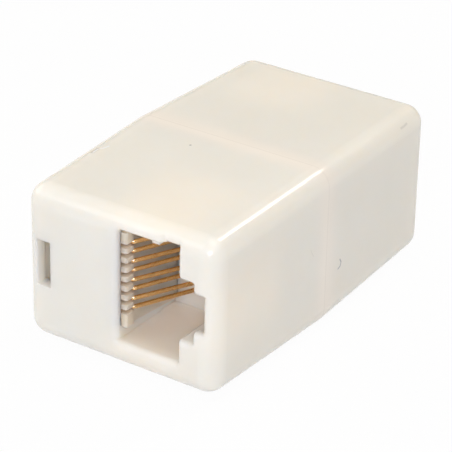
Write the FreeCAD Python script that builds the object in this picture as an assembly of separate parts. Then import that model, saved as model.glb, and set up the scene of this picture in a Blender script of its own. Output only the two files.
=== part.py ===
import FreeCAD, Part
import math
import os
from FreeCAD import Vector

# Straight-through coupler for two eight-way modular plugs, in millimetres.
# X runs across the jack faces, Y along the body and Z up. The origin is under the middle of the body.
# Both shells are one moulding used twice, and so are both wire carriers: the rear one of each pair
# is the front one turned half a turn about Z, apart from the shell's length.

os.makedirs("parts", exist_ok=True)

# Outside
LENGTH = 39.0              # jack face to jack face
FACE_WIDTH = 22.35         # at the jack faces
FACE_HEIGHT = 16.5
SWELL = 0.45               # how far each side stands out further at the seam, from the moulding draft
SEAM_Y = -0.6              # the seam lies a little in front of the middle
EDGE_RADIUS = 2.0
MID_Z = FACE_HEIGHT / 2 + SWELL

# Walls
SIDE_WALL = 1.45
TOP_WALL = 1.35
FACE_WALL = 1.4
INNER_RADIUS = 1.0
PARTITION_WALL = 0.95

# Jack opening: the plug body, then the latch, then the latch's finger, stepping outwards along +X
PLUG_LEFT = -0.15
PLUG_RIGHT = 6.85
LATCH_RIGHT = 8.5
FINGER_RIGHT = 9.5
PLUG_BOTTOM, PLUG_TOP = -5.42, 6.75
LATCH_BOTTOM, LATCH_TOP = -2.85, 3.64
FINGER_BOTTOM, FINGER_TOP = -1.5, 2.53
GUIDE_RIGHT = 4.45         # a low guide along the top edge, on the contact side
GUIDE_TOP = 6.46
GUIDE_SLOPE = 0.75
RIB_LEFT, RIB_RIGHT = 3.6, 4.4
RIB_DEPTH = 0.6            # where the rib starts, behind the mouth
RIB_DROP = 0.2             # a rib along the guide keys into the plug's corner
STEP_RADIUS = 0.4
CORNER_RADIUS = 0.15
MOUTH_RADIUS = 0.6
LIP_DEPTH = 1.0            # the latch catches behind this lip
JACK_DEPTH = 9.8
END_WALL = 1.4

# Snap joint: an opening in each face lets the mould form the ledge that the other shell's hook catches
SLOT_OUTER, SLOT_INNER = 9.62, 8.02
SLOT_BOTTOM, SLOT_TOP = -2.18, 2.8
HOOK_Y = 8.2
HOOK_REACH = 9.6
ARM_INNER, ARM_OUTER = 7.7, 8.8
ARM_MARGIN = 0.25
SNAP_GAP = 0.1
ROOT_Y = 5.5
ROOT_WIDTH = 2.0
WALL_BITE = 0.25           # how deep a root or ledge runs into the wall that carries it

# Lap joint round half of the seam
LAP_THICKNESS = 0.65
LAP_LENGTH = 1.2
LAP_GAP = 0.05
LAP_START_X = 0.3

# Contact wires
WIRE_COUNT = 8
WIRE_PITCH = 1.016
WIRE_RADIUS = 0.23
WIRE_MID_Z = 1.15
BEND_RADIUS = 0.5
BENDS = ((0.06, -17.0), (0.0, -16.9))   # (x, y) of the front bend, in turn from the top wire down
SPRING_ANGLES = (27.0, 25.0)   # degrees from the plug's way in, in the same turn
TIP_DEPTH = 0.7            # how far each tip stands in its comb slot
COMB_LEFT, COMB_RIGHT = 3.2, 5.3
COMB_HEIGHT = 0.66
COMB_DEPTH = 1.0

# Wire carriers
CARRIER_BOTTOM, CARRIER_TOP = -4.05, 6.1
CARRIER_SLOPE = 0.1        # the lower edge falls towards the back of the jack
NOSE_LEFT, NOSE_RIGHT = -0.93, 0.55
NOSE_DEPTH = 0.75
NOSE_LENGTH = 1.15         # the teeth between the wires
NECK_LENGTH = 2.4          # the part that fills the shell's recess behind them
PLATE_RIGHT = 0.1          # the plate that carries on along the jack
NOSE_RADIUS = 0.25
BLOCK_RIGHT = 1.5
GROOVE_HEIGHT = 0.5
RECESS_LEFT = -0.95
PEG_RADIUS = 0.45
PEG_LENGTH = 0.9
PEG_Y = 6.0
PEG_MARGIN = 0.65
FAR = 30.0                 # longer than anything it cuts

FACE_Y = -LENGTH / 2
END_Y = FACE_Y + JACK_DEPTH
BLOCK_Y = END_Y + END_WALL
NOSE_Y = FACE_Y + NOSE_DEPTH


def box(low, high):
    """A block between two corners."""
    size = Vector(*high) - Vector(*low)
    return Part.makeBox(size.x, size.y, size.z, Vector(*low))


def prism(points, along):
    """A flat outline, carried along a vector."""
    face = Part.Face(Part.makePolygon(points + points[:1]))
    return face.extrude(along)


def prism_z(outline, z_from, z_to):
    """An outline of (x, y) points, carried along Z."""
    points = [Vector(x, y, z_from) for x, y in outline]
    return prism(points, Vector(0, 0, z_to - z_from))


def drafted_block(half_x, half_z, y_from, y_to):
    """A block along Y whose four sides open by the draft, from the face to the seam."""
    wide_x, wide_z = half_x + SWELL, half_z + SWELL
    return Part.makeWedge(-half_x, y_from, -half_z, -wide_z, -wide_x,
                          half_x, y_to, half_z, wide_z, wide_x)


def edges_along_y(solid):
    """Edges that run from one end of a drafted block or prism to the other."""
    return [e for e in solid.Edges if abs(e.Vertexes[0].Y - e.Vertexes[-1].Y) > 1]


def half_turn(solid):
    """The same piece at the other end of the coupler."""
    turned = solid.copy()
    turned.rotate(Vector(0, 0, 0), Vector(0, 0, 1), 180)
    return turned


def outer_block(seam_y):
    block = drafted_block(FACE_WIDTH / 2, FACE_HEIGHT / 2, FACE_Y, seam_y)
    soft = [e for e in block.Edges if min(v.Y for v in e.Vertexes) < FACE_Y + 1]
    return block.makeFillet(EDGE_RADIUS, soft)


def hollow(seam_y):
    half_x = FACE_WIDTH / 2 - SIDE_WALL
    half_z = FACE_HEIGHT / 2 - TOP_WALL
    block = drafted_block(half_x, half_z, FACE_Y + FACE_WALL, seam_y)
    return block.makeFillet(INNER_RADIUS, edges_along_y(block))


def jack_opening():
    """The plug's way in, with the latch channel and the finger slot stepping out of its right side."""
    outline = [(PLUG_LEFT, PLUG_BOTTOM), (PLUG_RIGHT, PLUG_BOTTOM), (PLUG_RIGHT, LATCH_BOTTOM),
               (LATCH_RIGHT, LATCH_BOTTOM), (LATCH_RIGHT, FINGER_BOTTOM), (FINGER_RIGHT, FINGER_BOTTOM),
               (FINGER_RIGHT, FINGER_TOP), (LATCH_RIGHT, FINGER_TOP), (LATCH_RIGHT, LATCH_TOP),
               (PLUG_RIGHT, LATCH_TOP), (PLUG_RIGHT, PLUG_TOP), (GUIDE_RIGHT + GUIDE_SLOPE, PLUG_TOP),
               (GUIDE_RIGHT, GUIDE_TOP), (PLUG_LEFT, GUIDE_TOP)]
    points = [Vector(x, FACE_Y - 1, z) for x, z in outline]
    tool = prism(points, Vector(0, JACK_DEPTH + 1, 0))
    steps = [(PLUG_RIGHT, LATCH_BOTTOM), (LATCH_RIGHT, FINGER_BOTTOM), (LATCH_RIGHT, FINGER_TOP),
             (PLUG_RIGHT, LATCH_TOP), (GUIDE_RIGHT, GUIDE_TOP)]
    step_edges = [e for e in edges_along_y(tool) if near_any(e, steps)]
    corner_edges = [e for e in edges_along_y(tool) if not near_any(e, steps)]
    tool = tool.makeFillet(STEP_RADIUS, step_edges)
    corners = [(e.Vertexes[0].X, e.Vertexes[0].Z) for e in corner_edges]
    corner_edges = [e for e in edges_along_y(tool) if near_any(e, corners)]
    return tool.makeFillet(CORNER_RADIUS, corner_edges)


def near_any(edge, places):
    """Whether an edge along Y starts at one of some (x, z) places."""
    start = edge.Vertexes[0]
    return any(math.hypot(start.X - x, start.Z - z) < 0.01 for x, z in places)


def soften_mouth(shell):
    """Round the rim of the jack opening where it meets the face."""
    return shell.makeFillet(MOUTH_RADIUS, [e for e in shell.Edges if on_mouth(e)])


def on_mouth(edge):
    bounds = edge.BoundBox
    return bounds.YMax < FACE_Y + 0.1 and bounds.XMin > PLUG_LEFT - 0.01 and (
        bounds.XMax < FINGER_RIGHT + 0.01 and bounds.ZMin > PLUG_BOTTOM - 0.01 and
        bounds.ZMax < PLUG_TOP + 0.01)


def jack_core(seam_y):
    """What the block round the jack loses: latch pocket, carrier recess, comb slots and cored corners."""
    pocket = box((PLUG_RIGHT - 1, FACE_Y + LIP_DEPTH, LATCH_BOTTOM), (FINGER_RIGHT, END_Y, LATCH_TOP))
    recess = box((RECESS_LEFT, NOSE_Y, CARRIER_BOTTOM), (PLATE_RIGHT, BLOCK_Y, CARRIER_TOP))
    cuts = [pocket, recess, foot(RECESS_LEFT, PLATE_RIGHT)]
    for _, z in wire_levels():
        low, high = z - COMB_HEIGHT / 2, z + COMB_HEIGHT / 2
        cuts.append(box((COMB_LEFT, END_Y - 1, low), (COMB_RIGHT, END_Y + COMB_DEPTH, high)))
    core_left = PLUG_RIGHT + PARTITION_WALL
    core_right = FACE_WIDTH / 2 - SIDE_WALL
    core_high = FACE_HEIGHT / 2 - TOP_WALL
    core_y = FACE_Y + FACE_WALL
    above = (LATCH_TOP + PARTITION_WALL, core_high)
    below = (-core_high, LATCH_BOTTOM - PARTITION_WALL)
    for low, high in (above, below):
        cuts.append(box((core_left, core_y, low), (core_right, BLOCK_Y + 1, high)))
    return cuts


def foot(left, right):
    """The wedge under the carrier, whose lower edge falls towards the back of the jack."""
    low = CARRIER_BOTTOM - CARRIER_SLOPE * (BLOCK_Y - NOSE_Y)
    side = [(NOSE_Y, CARRIER_BOTTOM), (BLOCK_Y, low), (BLOCK_Y, CARRIER_BOTTOM)]
    return prism([Vector(left, y, z) for y, z in side], Vector(right - left, 0, 0))


def guide_rib():
    """The rib along the guide, rooted in the block above it."""
    low, high = GUIDE_TOP - RIB_DROP, GUIDE_TOP + RIB_DROP
    return box((RIB_LEFT, FACE_Y + RIB_DEPTH, low), (RIB_RIGHT, END_Y, high))


def hook_arm():
    """The springy arm that reaches past the seam and hooks into the other shell."""
    hook_thickness = 0.4
    nose_length = 1.8
    nose_taper = 0.2
    wall_x = FACE_WIDTH / 2 - SIDE_WALL + SWELL + WALL_BITE
    outline = [(ARM_INNER, -ROOT_Y), (wall_x, -ROOT_Y), (wall_x, ROOT_WIDTH - ROOT_Y),
               (ARM_OUTER, ROOT_WIDTH - ROOT_Y), (ARM_OUTER, HOOK_Y), (HOOK_REACH, HOOK_Y),
               (HOOK_REACH, HOOK_Y + hook_thickness), (ARM_OUTER - nose_taper, HOOK_Y + nose_length),
               (ARM_INNER, HOOK_Y + nose_length)]
    return prism_z(outline, SLOT_BOTTOM + ARM_MARGIN, SLOT_TOP - ARM_MARGIN)


def snap_ledge():
    """The ledge behind the blind side's slot, with a slope that lifts the other shell's hook over it."""
    catch_y = -HOOK_Y + SNAP_GAP
    land = 0.5
    slope_y = 1.4
    top_x = -ARM_OUTER - SNAP_GAP
    wall_x = -(FACE_WIDTH / 2 - SIDE_WALL + SWELL + WALL_BITE)
    outline = [(wall_x, catch_y), (top_x, catch_y), (top_x, catch_y + land),
               (wall_x + WALL_BITE, catch_y + land + slope_y), (wall_x, catch_y + land + slope_y)]
    return prism_z(outline, SLOT_BOTTOM, SLOT_TOP)


def lap_ring(thickness, y_from, y_to):
    """A band of constant section that lines the walls at the seam."""
    half_x = FACE_WIDTH / 2 - SIDE_WALL + SWELL
    half_z = FACE_HEIGHT / 2 - TOP_WALL + SWELL
    rings = []
    for extra in (thickness, 0):
        ring = box((-half_x - extra, y_from, -half_z - extra), (half_x + extra, y_to, half_z + extra))
        long_edges = [e for e in ring.Edges if abs(e.Vertexes[0].Y - e.Vertexes[-1].Y) > 0.1]
        rings.append(ring.makeFillet(INNER_RADIUS + extra, long_edges))
    return rings[0].cut(rings[1])


def lap_tongue(seam_y):
    ring = lap_ring(LAP_THICKNESS - LAP_GAP, seam_y - LAP_LENGTH / 2, seam_y + LAP_LENGTH)
    return ring.common(box((LAP_START_X, -FAR, -FAR), (FAR, FAR, FAR)))


def lap_rebate(seam_y):
    ring = lap_ring(LAP_THICKNESS, seam_y - LAP_LENGTH - LAP_GAP, seam_y + 1)
    return ring.common(box((-FAR, -FAR, -FAR), (LAP_GAP - LAP_START_X, FAR, FAR)))


def shell(seam_y):
    """One half of the housing, its jack facing -Y, its open end at the seam."""
    body = soften_mouth(outer_block(seam_y).cut(jack_opening()))
    jack_block = box((RECESS_LEFT - PARTITION_WALL, -FAR, -FAR), (FAR, BLOCK_Y, FAR))
    slot = box((-SLOT_OUTER, FACE_Y - 1, SLOT_BOTTOM), (-SLOT_INNER, FACE_Y + FACE_WALL + 1, SLOT_TOP))
    body = body.cut([hollow(seam_y).cut(jack_block), slot] + jack_core(seam_y))
    body = body.cut(lap_rebate(seam_y))
    body = body.fuse([guide_rib(), hook_arm(), snap_ledge(), lap_tongue(seam_y)])
    return body.removeSplitter()


def wire_levels():
    """Each wire's number and height, from the top down."""
    top = WIRE_MID_Z + WIRE_PITCH * (WIRE_COUNT - 1) / 2
    return [(i + 1, top - WIRE_PITCH * i) for i in range(WIRE_COUNT)]


def of_turn(choices, number):
    """The choice for a wire, where the wires take two choices in turn from the top."""
    return choices[(number - 1) % len(choices)]


def spring_angle(number):
    return math.radians(of_turn(SPRING_ANGLES, number))


def run_angle(number):
    """The tilt of a wire's middle run, from the left of the front bend to the right of the rear one."""
    x, y = of_turn(BENDS, number)
    return math.atan(x / y) + math.asin(BEND_RADIUS / math.hypot(x, y))


def bend_points(radius, number, z=0):
    """Where a line at that radius meets, rounds and leaves the front bend."""
    x, y = of_turn(BENDS, number)
    run = run_angle(number)
    angle = spring_angle(number)
    left = Vector(x - radius * math.cos(run), y + radius * math.sin(run), z)
    front = Vector(x, y - radius, z)
    right = Vector(x + radius * math.cos(angle), y - radius * math.sin(angle), z)
    return left, front, right


def wire(number, z):
    """One contact: spring, bend, middle run, bend, spring, all at one height."""
    angle = spring_angle(number)
    left, _, right = bend_points(BEND_RADIUS, number, z)
    x, y = of_turn(BENDS, number)
    along = Vector(math.sin(angle), math.cos(angle), 0)
    reach = (END_Y + TIP_DEPTH - right.y) / math.cos(angle)
    spring = Part.makeCylinder(WIRE_RADIUS, reach, right, along)
    section = Part.Face(Part.Wire(Part.makeCircle(WIRE_RADIUS, right, along)))
    sweep = math.degrees(angle - run_angle(number)) - 180
    bend = section.revolve(Vector(x, y, z), Vector(0, 0, 1), sweep).toNurbs()
    run_length = 2 * math.hypot(left.x, left.y)
    middle = Part.makeCylinder(WIRE_RADIUS, run_length, left, Vector(-left.x, -left.y, 0))
    return middle.fuse([spring, bend, half_turn(spring), half_turn(bend)])


def groove_core(number):
    """The plan of what a wire wraps round: everything inside its path, far past the carrier."""
    left, front, right = bend_points(BEND_RADIUS - WIRE_RADIUS, number)
    run = run_angle(number)
    angle = spring_angle(number)
    left_far = left + Vector(math.sin(run), math.cos(run), 0) * 2 * FAR
    right_far = right + Vector(math.sin(angle), math.cos(angle), 0) * 2 * FAR
    edges = [Part.LineSegment(left_far, left).toShape(), Part.Arc(left, front, right).toShape(),
             Part.LineSegment(right, right_far).toShape(), Part.LineSegment(right_far, left_far).toShape()]
    return Part.Face(Part.Wire(edges))


def groove(number, z):
    """The open groove of one wire, as a slab with the core left out."""
    low = z - GROOVE_HEIGHT / 2
    slab = box((-FAR, -FAR, low), (FAR, FAR, low + GROOVE_HEIGHT))
    core = groove_core(number).extrude(Vector(0, 0, GROOVE_HEIGHT))
    core.translate(Vector(0, 0, low))
    return slab.cut(core)


def peg_places():
    return [CARRIER_BOTTOM + PEG_MARGIN, CARRIER_TOP - PEG_MARGIN]


def carrier_plan(slope):
    """The carrier's outline: toothed nose, neck, the plate along the jack and the block behind it."""
    teeth_y = NOSE_Y + NOSE_LENGTH
    neck_y = NOSE_Y + NECK_LENGTH
    return [(NOSE_LEFT, NOSE_Y), (NOSE_RIGHT, NOSE_Y), (NOSE_RIGHT, teeth_y), (PLATE_RIGHT, teeth_y),
            (PLATE_RIGHT, BLOCK_Y), (BLOCK_RIGHT, BLOCK_Y), (BLOCK_RIGHT, -BLOCK_Y),
            (-slope * BLOCK_Y, -BLOCK_Y), (slope * neck_y, neck_y), (NOSE_LEFT, neck_y)]


def carrier():
    """The plate and block that hold the wires, its toothed nose at the front jack's mouth."""
    slope = math.tan(run_angle(1))
    body = prism_z(carrier_plan(slope), CARRIER_BOTTOM, CARRIER_TOP)
    nose_edges = [e for e in body.Edges if e.BoundBox.YMax < NOSE_Y + 0.01 and e.BoundBox.XLength < 0.01]
    body = body.makeFillet(NOSE_RADIUS, nose_edges).fuse(foot(NOSE_LEFT, PLATE_RIGHT))
    body = body.cut([groove(number, z) for number, z in wire_levels()])
    toward_other = Vector(-1, 0, 0)
    for z in peg_places():
        root = Vector(BLOCK_RIGHT / 2, PEG_Y, z)
        tip_x = slope * PEG_Y - PEG_LENGTH
        body = body.fuse(Part.makeCylinder(PEG_RADIUS, root.x - tip_x, root, toward_other))
        hole_floor = Vector(-tip_x + LAP_GAP, -PEG_Y, z)
        body = body.cut(Part.makeCylinder(PEG_RADIUS + LAP_GAP, FAR, hole_floor, toward_other))
    return body.removeSplitter()


def export(node, solid):
    placed = solid.copy()
    placed.translate(Vector(0, 0, MID_Z))
    if not placed.isValid() or len(placed.Solids) != 1:
        raise ValueError(node + " is not one sound solid: " + str(len(placed.Solids)))
    placed.Solids[0].exportStep("parts/" + node + ".step")
    print(node, "volume", round(placed.Volume, 1), "mm3")


def main():
    export("front_shell", shell(SEAM_Y))
    export("rear_shell", half_turn(shell(-SEAM_Y)))
    front = carrier()
    export("front_carrier", front)
    export("rear_carrier", half_turn(front))
    for number, z in wire_levels():
        export("contact_wire_" + str(number), wire(number, z))


main()
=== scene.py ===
# %% [markdown]
# # An inline coupler for network cords
# The object is a small moulded box, as long as a finger joint, with a jack in each end.
# Two shells snap together round two carriers, and eight plated wires run from jack to jack.
# The shapes come from the CAD model, which is loaded first and never moved. This lesson gives
# each piece its finish, then lights it and places the camera.

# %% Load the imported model
import math

import bpy
from mathutils import Matrix, Vector


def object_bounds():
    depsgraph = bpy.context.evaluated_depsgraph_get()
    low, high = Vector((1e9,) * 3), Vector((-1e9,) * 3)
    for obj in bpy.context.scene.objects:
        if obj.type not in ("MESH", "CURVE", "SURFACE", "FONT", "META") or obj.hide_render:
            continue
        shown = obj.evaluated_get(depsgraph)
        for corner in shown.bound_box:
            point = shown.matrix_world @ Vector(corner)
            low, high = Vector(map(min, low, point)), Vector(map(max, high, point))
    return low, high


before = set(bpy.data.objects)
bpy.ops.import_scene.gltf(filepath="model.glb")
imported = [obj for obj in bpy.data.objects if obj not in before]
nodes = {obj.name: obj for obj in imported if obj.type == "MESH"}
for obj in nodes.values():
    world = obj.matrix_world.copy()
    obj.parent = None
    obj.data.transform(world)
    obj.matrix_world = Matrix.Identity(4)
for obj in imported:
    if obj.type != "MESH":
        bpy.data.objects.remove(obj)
cad_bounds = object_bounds()
print("pieces:", len(nodes))

# %% [markdown]
# ## Measures
# Blender counts in metres, and a moulder thinks in millimetres, so lengths are written times MM.
# The two corners of the whole model give the height of the table, the place that the lamps turn
# round and the height that the camera looks at.

# %% Measures
MM = 0.001
low, high = (Vector(corner) for corner in cad_bounds)
middle = (low + high) / 2
print("size in mm:", [round(side / MM, 2) for side in high - low])

# %% [markdown]
# ## Tools for materials
# Colours are written as on a paint card, in sRGB hex. Cycles works with light, so one function
# turns them to linear values. A second function adds a shader node with its settings and links.
# The rest are short names for the nodes that every finish here uses, so that each finish reads
# as a list of what it is made of.

# %% Colour and node helpers
def linear(code):
    """An sRGB hex colour as linear red, green, blue and alpha."""
    channels = [int(code[i:i + 2], 16) / 255 for i in (1, 3, 5)]
    return [c / 12.92 if c <= 0.04045 else ((c + 0.055) / 1.055) ** 2.4 for c in channels] + [1.0]


def add(tree, kind, settings=None, links=None):
    """Adds a node. Settings fill its properties or sockets, and links bring in other nodes' outputs."""
    node = tree.nodes.new(kind)
    for name, value in (settings or {}).items():
        if isinstance(name, str) and hasattr(node, name):
            setattr(node, name, value)
        else:
            node.inputs[name].default_value = value
    for name, output in (links or {}).items():
        tree.links.new(output, node.inputs[name])
    return node


def material(name):
    """An empty node material and its tree."""
    made = bpy.data.materials.new(name)
    made.use_nodes = True
    made.node_tree.nodes.clear()
    return made, made.node_tree


def object_place(tree):
    """Where a spot is on the object, in the object's own coordinates."""
    return add(tree, "ShaderNodeTexCoord").outputs["Object"]


def noise(tree, place, size, detail):
    """Noise from 0 to 1 with patches of about that size."""
    settings = {"Scale": 1 / size, "Detail": detail}
    return add(tree, "ShaderNodeTexNoise", settings, {"Vector": place}).outputs["Fac"]


def spread(tree, value, first, last, start=0.0, end=1.0, curve="LINEAR"):
    """First where the value is at start, last where it is at end, and a ramp between them."""
    ramp = {"interpolation_type": curve, "From Min": start, "From Max": end, "To Min": first, "To Max": last}
    return add(tree, "ShaderNodeMapRange", ramp, {"Value": value}).outputs["Result"]


def blend(tree, share, first, second):
    """A colour between two. Each is a hex colour or another node's output."""
    settings, links = {"data_type": "RGBA"}, {0: share}
    for socket, colour in ((6, first), (7, second)):
        if isinstance(colour, str):
            settings[socket] = linear(colour)
        else:
            links[socket] = colour
    return add(tree, "ShaderNodeMix", settings, links).outputs[2]


def bump(tree, height, strength, distance, under=None):
    """A skin raised by a height from 0 to 1, on top of the skin under it."""
    links = {"Height": height}
    if under:
        links["Normal"] = under
    return add(tree, "ShaderNodeBump", {"Strength": strength, "Distance": distance}, links).outputs["Normal"]


def larger(tree, first, second):
    """The larger of two outputs."""
    return add(tree, "ShaderNodeMath", {"operation": "MAXIMUM"}, {0: first, 1: second}).outputs[0]


def finish_with(tree, shader):
    """Sends a shader to the material's output."""
    add(tree, "ShaderNodeOutputMaterial", links={"Surface": shader})


# %% [markdown]
# ## Handling marks and a painted glint
# A coupler that has been in and out of a drawer has a few small marks: a curved scuff on its
# side, a nick in a top edge and a hair line beside the jack. Each is drawn in the plastic's
# colour as a line through a few points on the surface. The nick's white core is a painted
# glint: light caught on its dented edge, drawn as colour. The gap from any spot to the nearest
# stretch of the line says how much of the mark's shade it gets, so the marks cost no triangles.

# %% Marks on the shells
MARKS_AND_PAINTED_GLINT = {  # each mark: colour, strength, width in mm, and the points in mm that its line runs through
    "scuff on the side": ("#87858a", 0.6, 0.16,
                          [(11.55, 2.10, 6.45), (11.55, 2.35, 6.05), (11.55, 2.20, 5.65),
                           (11.55, 1.80, 5.50)]),
    "faint scuff on the side": ("#85838a", 0.12, 0.10,
                                [(11.55, -3.55, 9.95), (11.55, -3.35, 9.55), (11.55, -2.95, 8.95)]),
    "scuff on the rear edge": ("#a8a098", 0.25, 0.24,
                               [(11.0, 14.15, 16.10), (11.0, 14.80, 16.10), (10.95, 15.40, 16.15)]),
    "hair line on the front": ("#9c989a", 0.45, 0.08,
                               [(10.40, -19.5, 8.10), (10.85, -19.5, 8.00), (11.40, -19.5, 8.40)]),
    "rim of the nick": ("#98928a", 0.35, 0.5, [(-9.70, -10.40, 17.15), (-9.70, -9.60, 17.20)]),
    # painted glint: the nick's white core stands in for light caught on its dented edge
    "painted glint in the nick": ("#ffffff", 0.9, 0.14,
                             [(-9.60, -10.40, 17.15), (-9.60, -9.60, 17.20), (-9.25, -9.10, 17.20),
                              (-9.10, -8.50, 17.20)]),
    "speck on the top": ("#6e6a66", 0.8, 0.16, [(-2.65, -3.80, 17.30), (-2.60, -3.75, 17.30)]),
}
MARK_CORE = 0.2  # the share of its width where a mark has its full strength
MARK_EDGE = 0.8  # and where it has faded away


def vector_math(tree, operation, settings, links):
    """The outputs of a vector operation, the first a vector and Value a number."""
    return add(tree, "ShaderNodeVectorMath", {"operation": operation, **settings}, links).outputs


def gap_to(tree, place, start, end):
    """How far a spot is from the straight line between two points in mm."""
    run = (Vector(end) - Vector(start)) * MM
    reach = vector_math(tree, "SUBTRACT", {1: Vector(start) * MM}, {0: place})[0]
    dot = vector_math(tree, "DOT_PRODUCT", {1: run}, {0: reach})["Value"]
    share = add(tree, "ShaderNodeMath", {"operation": "DIVIDE", "use_clamp": True, 1: run.length_squared},
                {0: dot}).outputs[0]
    foot = vector_math(tree, "SCALE", {0: run}, {"Scale": share})[0]
    return vector_math(tree, "DISTANCE", {}, {0: reach, 1: foot})["Value"]


def marked(tree, place, colour):
    """The colour with the handling marks and the painted glint drawn over it."""
    for shade, strength, width, points in MARKS_AND_PAINTED_GLINT.values():
        nearest = None
        for start, end in zip(points, points[1:]):
            gap = gap_to(tree, place, start, end)
            if nearest:
                gap = add(tree, "ShaderNodeMath", {"operation": "MINIMUM"}, {0: nearest, 1: gap}).outputs[0]
            nearest = gap
        core, edge = MARK_CORE * width * MM, MARK_EDGE * width * MM
        ink = spread(tree, nearest, strength, 0.0, core, edge, "SMOOTHSTEP")
        colour = blend(tree, ink, colour, shade)
    return colour


print("marks:", ", ".join(MARKS_AND_PAINTED_GLINT))

# %% [markdown]
# ## Polished ivory ABS
# The shells are ABS, injection moulded in a polished tool, so they are glossy and a little
# milky: light goes a millimetre or two into the wall and comes back warmer. Close up the gloss
# isn't perfect. The skin has a slight orange peel where the melt cooled, hands have dulled it in
# patches, and the ivory pigment is not quite even. Noise on object coordinates gives all three
# at their real sizes. Where the two shells meet there is a fine groove with painted shade in it.
# Light can't cross from one shell to the other, which would leave a dull band beside the groove,
# so the milkiness fades towards it.

# %% Ivory ABS for the shells
MOTTLE = 5.0 * MM
HANDLING = 9.0 * MM
ORANGE_PEEL = 0.9 * MM
PEEL_STRENGTH = 0.05
PEEL_DEPTH = 0.02 * MM
ABS_GLOSS = (0.18, 0.28)
SEAM = -0.6 * MM  # where the shells meet, along Y
GROOVE = 0.16 * MM
GROOVE_STRENGTH = 0.4
GROOVE_DEPTH = 0.03 * MM
# how far the painted shade darkens the seam groove
GROOVE_PAINTED_SHADE = 0.12
MILKINESS = 1.0
SEAM_REACH = 2.6 * MM  # where the milkiness is whole again
SEAM_START = 0.15 * SEAM_REACH


def beside_seam(tree, place):
    """How far a spot is from the seam."""
    along = add(tree, "ShaderNodeSeparateXYZ", links={"Vector": place}).outputs["Y"]
    offset = add(tree, "ShaderNodeMath", {"operation": "SUBTRACT", 1: SEAM}, {0: along}).outputs[0]
    return add(tree, "ShaderNodeMath", {"operation": "ABSOLUTE"}, {0: offset}).outputs[0]


def moulded_ivory_abs(name, pale, deep):
    """Glossy ivory ABS. Pale and deep are the two ends of its uneven pigment."""
    made, tree = material(name)
    place = object_place(tree)
    away = beside_seam(tree, place)
    gloss = spread(tree, noise(tree, place, HANDLING, 3.0), *ABS_GLOSS)
    peel = bump(tree, noise(tree, place, ORANGE_PEEL, 1.0), PEEL_STRENGTH, PEEL_DEPTH)
    edge = spread(tree, away, 0.0, 1.0, 0.0, GROOVE, "SMOOTHSTEP")
    skin = bump(tree, edge, GROOVE_STRENGTH, GROOVE_DEPTH, peel)
    milky = spread(tree, away, 0.0, MILKINESS, SEAM_START, SEAM_REACH, "SMOOTHSTEP")
    colour = blend(tree, noise(tree, place, MOTTLE, 4.0), pale, deep)
    # painted shade: the colour goes grey in the groove at the seam, standing in for its shadow
    colour = blend(tree, spread(tree, away, GROOVE_PAINTED_SHADE, 0.0, 0.0, GROOVE), colour, "#c4bbae")
    colour = marked(tree, place, colour)
    surface = add(tree, "ShaderNodeBsdfPrincipled",
                  {"IOR": 1.54, "Subsurface Radius": (1.0, 0.90, 0.80), "Subsurface Scale": 2.2 * MM},
                  {"Base Color": colour, "Roughness": gloss, "Normal": skin, "Subsurface Weight": milky})
    finish_with(tree, surface.outputs["BSDF"])
    return made


ivory = moulded_ivory_abs("ivory ABS, moulded in a polished tool", "#f7f0e4", "#f4ebdc")
print("shell finish:", ivory.name)

# %% [markdown]
# ## Natural PBT
# The carriers hold the wires and must not creep, so they are PBT. It is left undyed, which is
# an off-white with a hint of tan, and its skin is duller than the shells' because glass filler
# lies just under it.

# %% Natural PBT for the carriers
FILLER = 0.6 * MM
FILLER_STRENGTH = 0.1
FILLER_DEPTH = 0.02 * MM
PBT_GLOSS = (0.38, 0.52)


def moulded_pbt(name, pale, deep):
    """Dull undyed PBT, with a fine grain of filler in its colour, its gloss and its skin."""
    made, tree = material(name)
    place = object_place(tree)
    filler = noise(tree, place, FILLER, 5.0)
    surface = add(tree, "ShaderNodeBsdfPrincipled",
                  {"IOR": 1.55, "Subsurface Weight": 1.0, "Subsurface Radius": (1.0, 0.85, 0.72),
                   "Subsurface Scale": 3.0 * MM},
                  {"Base Color": blend(tree, filler, pale, deep),
                   "Roughness": spread(tree, filler, *PBT_GLOSS),
                   "Normal": bump(tree, filler, FILLER_STRENGTH, FILLER_DEPTH)})
    finish_with(tree, surface.outputs["BSDF"])
    return made


pbt = moulded_pbt("natural PBT, moulded and glass filled", "#f3d9c0", "#edcfb3")
print("carrier finish:", pbt.name)

# %% [markdown]
# ## Gold-plated spring wire
# The contacts are drawn phosphor bronze with a thin plating of gold. Drawing leaves fine lines
# along the wire, and the plating follows them, so its shine is broken up a little lengthwise.

# %% Gold plate for the wires
DRAWING = 0.15 * MM
DRAWN_OUT = (1.0, 0.08, 1.0)  # the pattern is stretched along Y, which is nearly along the wires
GOLD_GLOSS = (0.18, 0.34)


def gold_plate(name, pale, deep):
    """Gold over the fine lines that drawing leaves along a wire."""
    made, tree = material(name)
    place = object_place(tree)
    along = add(tree, "ShaderNodeMapping", {"Scale": DRAWN_OUT}, {"Vector": place}).outputs["Vector"]
    lines = noise(tree, along, DRAWING, 3.0)
    surface = add(tree, "ShaderNodeBsdfPrincipled", {"Metallic": 1.0},
                  {"Base Color": blend(tree, lines, pale, deep),
                   "Roughness": spread(tree, lines, *GOLD_GLOSS)})
    finish_with(tree, surface.outputs["BSDF"])
    return made


gold = gold_plate("gold plate on drawn phosphor bronze", "#ffdaa4", "#f0c28a")
print("wire finish:", gold.name)

# %% [markdown]
# ## Each piece gets its finish
# The nodes are named after the pieces, so a word in the name says what a piece is made of.

# %% Put the finishes on the pieces
FINISHES = {"shell": ivory, "carrier": pbt, "contact_wire": gold}
for name, piece in nodes.items():
    finish = next(made for word, made in FINISHES.items() if word in name)
    for slot in piece.material_slots:
        slot.material = finish
print("finished pieces:", len(nodes))

# %% [markdown]
# ## Floor
# A pale object on white needs a floor that is white to the camera but still takes a shadow and
# throws light back onto the sides. The floor is a matt white board with a light of its own
# that only the camera and mirrors see.

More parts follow.
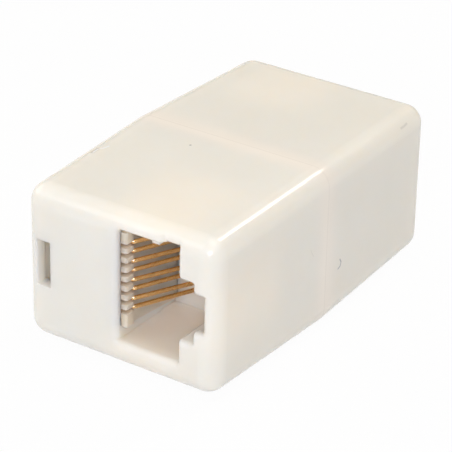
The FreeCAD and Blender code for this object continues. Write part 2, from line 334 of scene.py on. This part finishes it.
# %% Floor
FLOOR = 1.2
OWN_LIGHT = 0.96  # the share of the floor's picture that is its own light and not the lamps'
bpy.ops.object.select_all(action="DESELECT")
bpy.ops.mesh.primitive_plane_add(size=FLOOR, location=(0, 0, low.z))
floor = bpy.context.object
floor.name = "floor"
board, tree = material("white board")
path = add(tree, "ShaderNodeLightPath").outputs
seen = larger(tree, larger(tree, path["Is Camera Ray"], path["Is Glossy Ray"]), path["Is Transmission Ray"])
matt = add(tree, "ShaderNodeBsdfDiffuse", {"Color": linear("#e8e8e8")}).outputs[0]
glow = add(tree, "ShaderNodeEmission", {"Color": linear("#ffffff")}, {"Strength": seen}).outputs[0]
picture = add(tree, "ShaderNodeMixShader", {0: OWN_LIGHT}, {1: matt, 2: glow}).outputs[0]
finish_with(tree, add(tree, "ShaderNodeMixShader", links={0: seen, 1: matt, 2: picture}).outputs[0])
floor.data.materials.append(board)
print("floor side in m:", FLOOR)

# %% [markdown]
# ## The room
# The room is white to the camera. What it sends onto the object is less, and it is dimmer
# towards the right and the back, where the object's long side falls into a soft shade.

# %% World
SKY = 0.28
DARK_SIDE = (0.95, 0.31, 0.0)
FALL = 0.55
world = bpy.data.worlds.new("white room")
bpy.context.scene.world = world
world.use_nodes = True
tree = world.node_tree
tree.nodes.clear()
path = add(tree, "ShaderNodeLightPath").outputs
seen = larger(tree, path["Is Camera Ray"], path["Is Transmission Ray"])
facing = add(tree, "ShaderNodeTexCoord").outputs["Generated"]
aside = vector_math(tree, "DOT_PRODUCT", {1: DARK_SIDE}, {0: facing})["Value"]
sent = spread(tree, aside, SKY * (1 + FALL), SKY * (1 - FALL), -1.0, 1.0)
level = add(tree, "ShaderNodeMix", {"data_type": "FLOAT", 3: 1.0}, {0: seen, 2: sent}).outputs[0]
room = add(tree, "ShaderNodeBackground", {"Color": linear("#ffffff")}, {"Strength": level}).outputs[0]
add(tree, "ShaderNodeOutputWorld", links={"Surface": room})
print("sky level:", SKY)

# %% [markdown]
# ## Lights
# A small white part is shot in a white room with soft boxes close by. The front lamp hangs near
# the camera, so that its light reaches into the jack. A small box behind gives the thin bright
# line on the rounded long edge, and its colour is a little warmer than the front's. Boxes
# overhead and on the left even out the top and shine through the walls of the slot and mouth.
# Two tiny lamps leave the sparks on the front corner.

# %% Soft boxes
def soft_box(name, towards, distance, size, power, colour="#ffffff"):
    """A rectangular soft light, out along a direction from the object's middle and facing it."""
    out = Vector(towards).normalized()
    light = bpy.data.lights.new(name, "AREA")
    light.shape = "RECTANGLE"
    light.size, light.size_y = size
    light.energy = power
    light.color = linear(colour)[:3]
    lamp = bpy.data.objects.new(name, light)
    bpy.context.collection.objects.link(lamp)
    turned = out.to_track_quat("Z", "Y").to_matrix().to_4x4()
    lamp.matrix_world = Matrix.Translation(middle + out * distance) @ turned


soft_box("main soft box", (0.20, 0.67, 0.72), 0.45, (0.06, 0.06), 0.35, "#fff5e9")
soft_box("overhead soft box", (0.10, 0.15, 0.98), 0.45, (0.3, 0.3), 0.58, "#fff4e4")
soft_box("left soft box", (-0.92, -0.05, 0.38), 0.5, (0.3, 0.3), 0.65, "#fff8f0")
soft_box("front left lamp", (-0.49, -0.60, 0.63), 0.5, (0.16, 0.16), 0.18, "#eef3ff")
soft_box("front right lamp", (0.45, -0.76, 0.46), 0.5, (0.12, 0.12), 1.25, "#eef1ff")
soft_box("corner glint", (0.30, -0.08, 0.95), 0.5, (0.10, 0.02), 0.12)
soft_box("second glint", (0.55, -0.57, 0.61), 0.5, (0.02, 0.02), 0.10)

# %% [markdown]
# ## Camera
# A long lens from the front right keeps the box's edges nearly parallel. Its place is given as a
# photographer would say it: the angle round the object, the height above the table, the distance
# and the slight tilt of the camera.

# %% Camera
AROUND = math.radians(33.278)
ABOVE = math.radians(27.564)
TILT = math.radians(1.259)
DISTANCE = 232.57 * MM
AIM_UNDER_TOP = 8.75 * MM
LENS = 183.54
SENSOR = 36
SHIFT = (-0.0137, -0.0221)
NEAR_CLIP = 0.01
back = Vector((math.sin(AROUND) * math.cos(ABOVE), -math.cos(AROUND) * math.cos(ABOVE), math.sin(ABOVE)))
right = Vector((math.cos(AROUND), math.sin(AROUND), 0))
up = back.cross(right)
turn = Matrix.Rotation(TILT, 3, back)
view = bpy.data.cameras.new("camera")
view.sensor_width = SENSOR
view.lens = LENS
view.shift_x, view.shift_y = SHIFT
view.clip_start = NEAR_CLIP
camera = bpy.data.objects.new("camera", view)
bpy.context.collection.objects.link(camera)
axes = Matrix((turn @ right, turn @ up, back)).transposed()
aim = Vector((0, 0, high.z - AIM_UNDER_TOP))
camera.matrix_world = Matrix.Translation(aim + back * DISTANCE) @ axes.to_4x4()
bpy.context.scene.camera = camera
bpy.context.scene.view_settings.view_transform = "Standard"
print("camera at mm:", [round(c / MM, 1) for c in camera.matrix_world.translation])
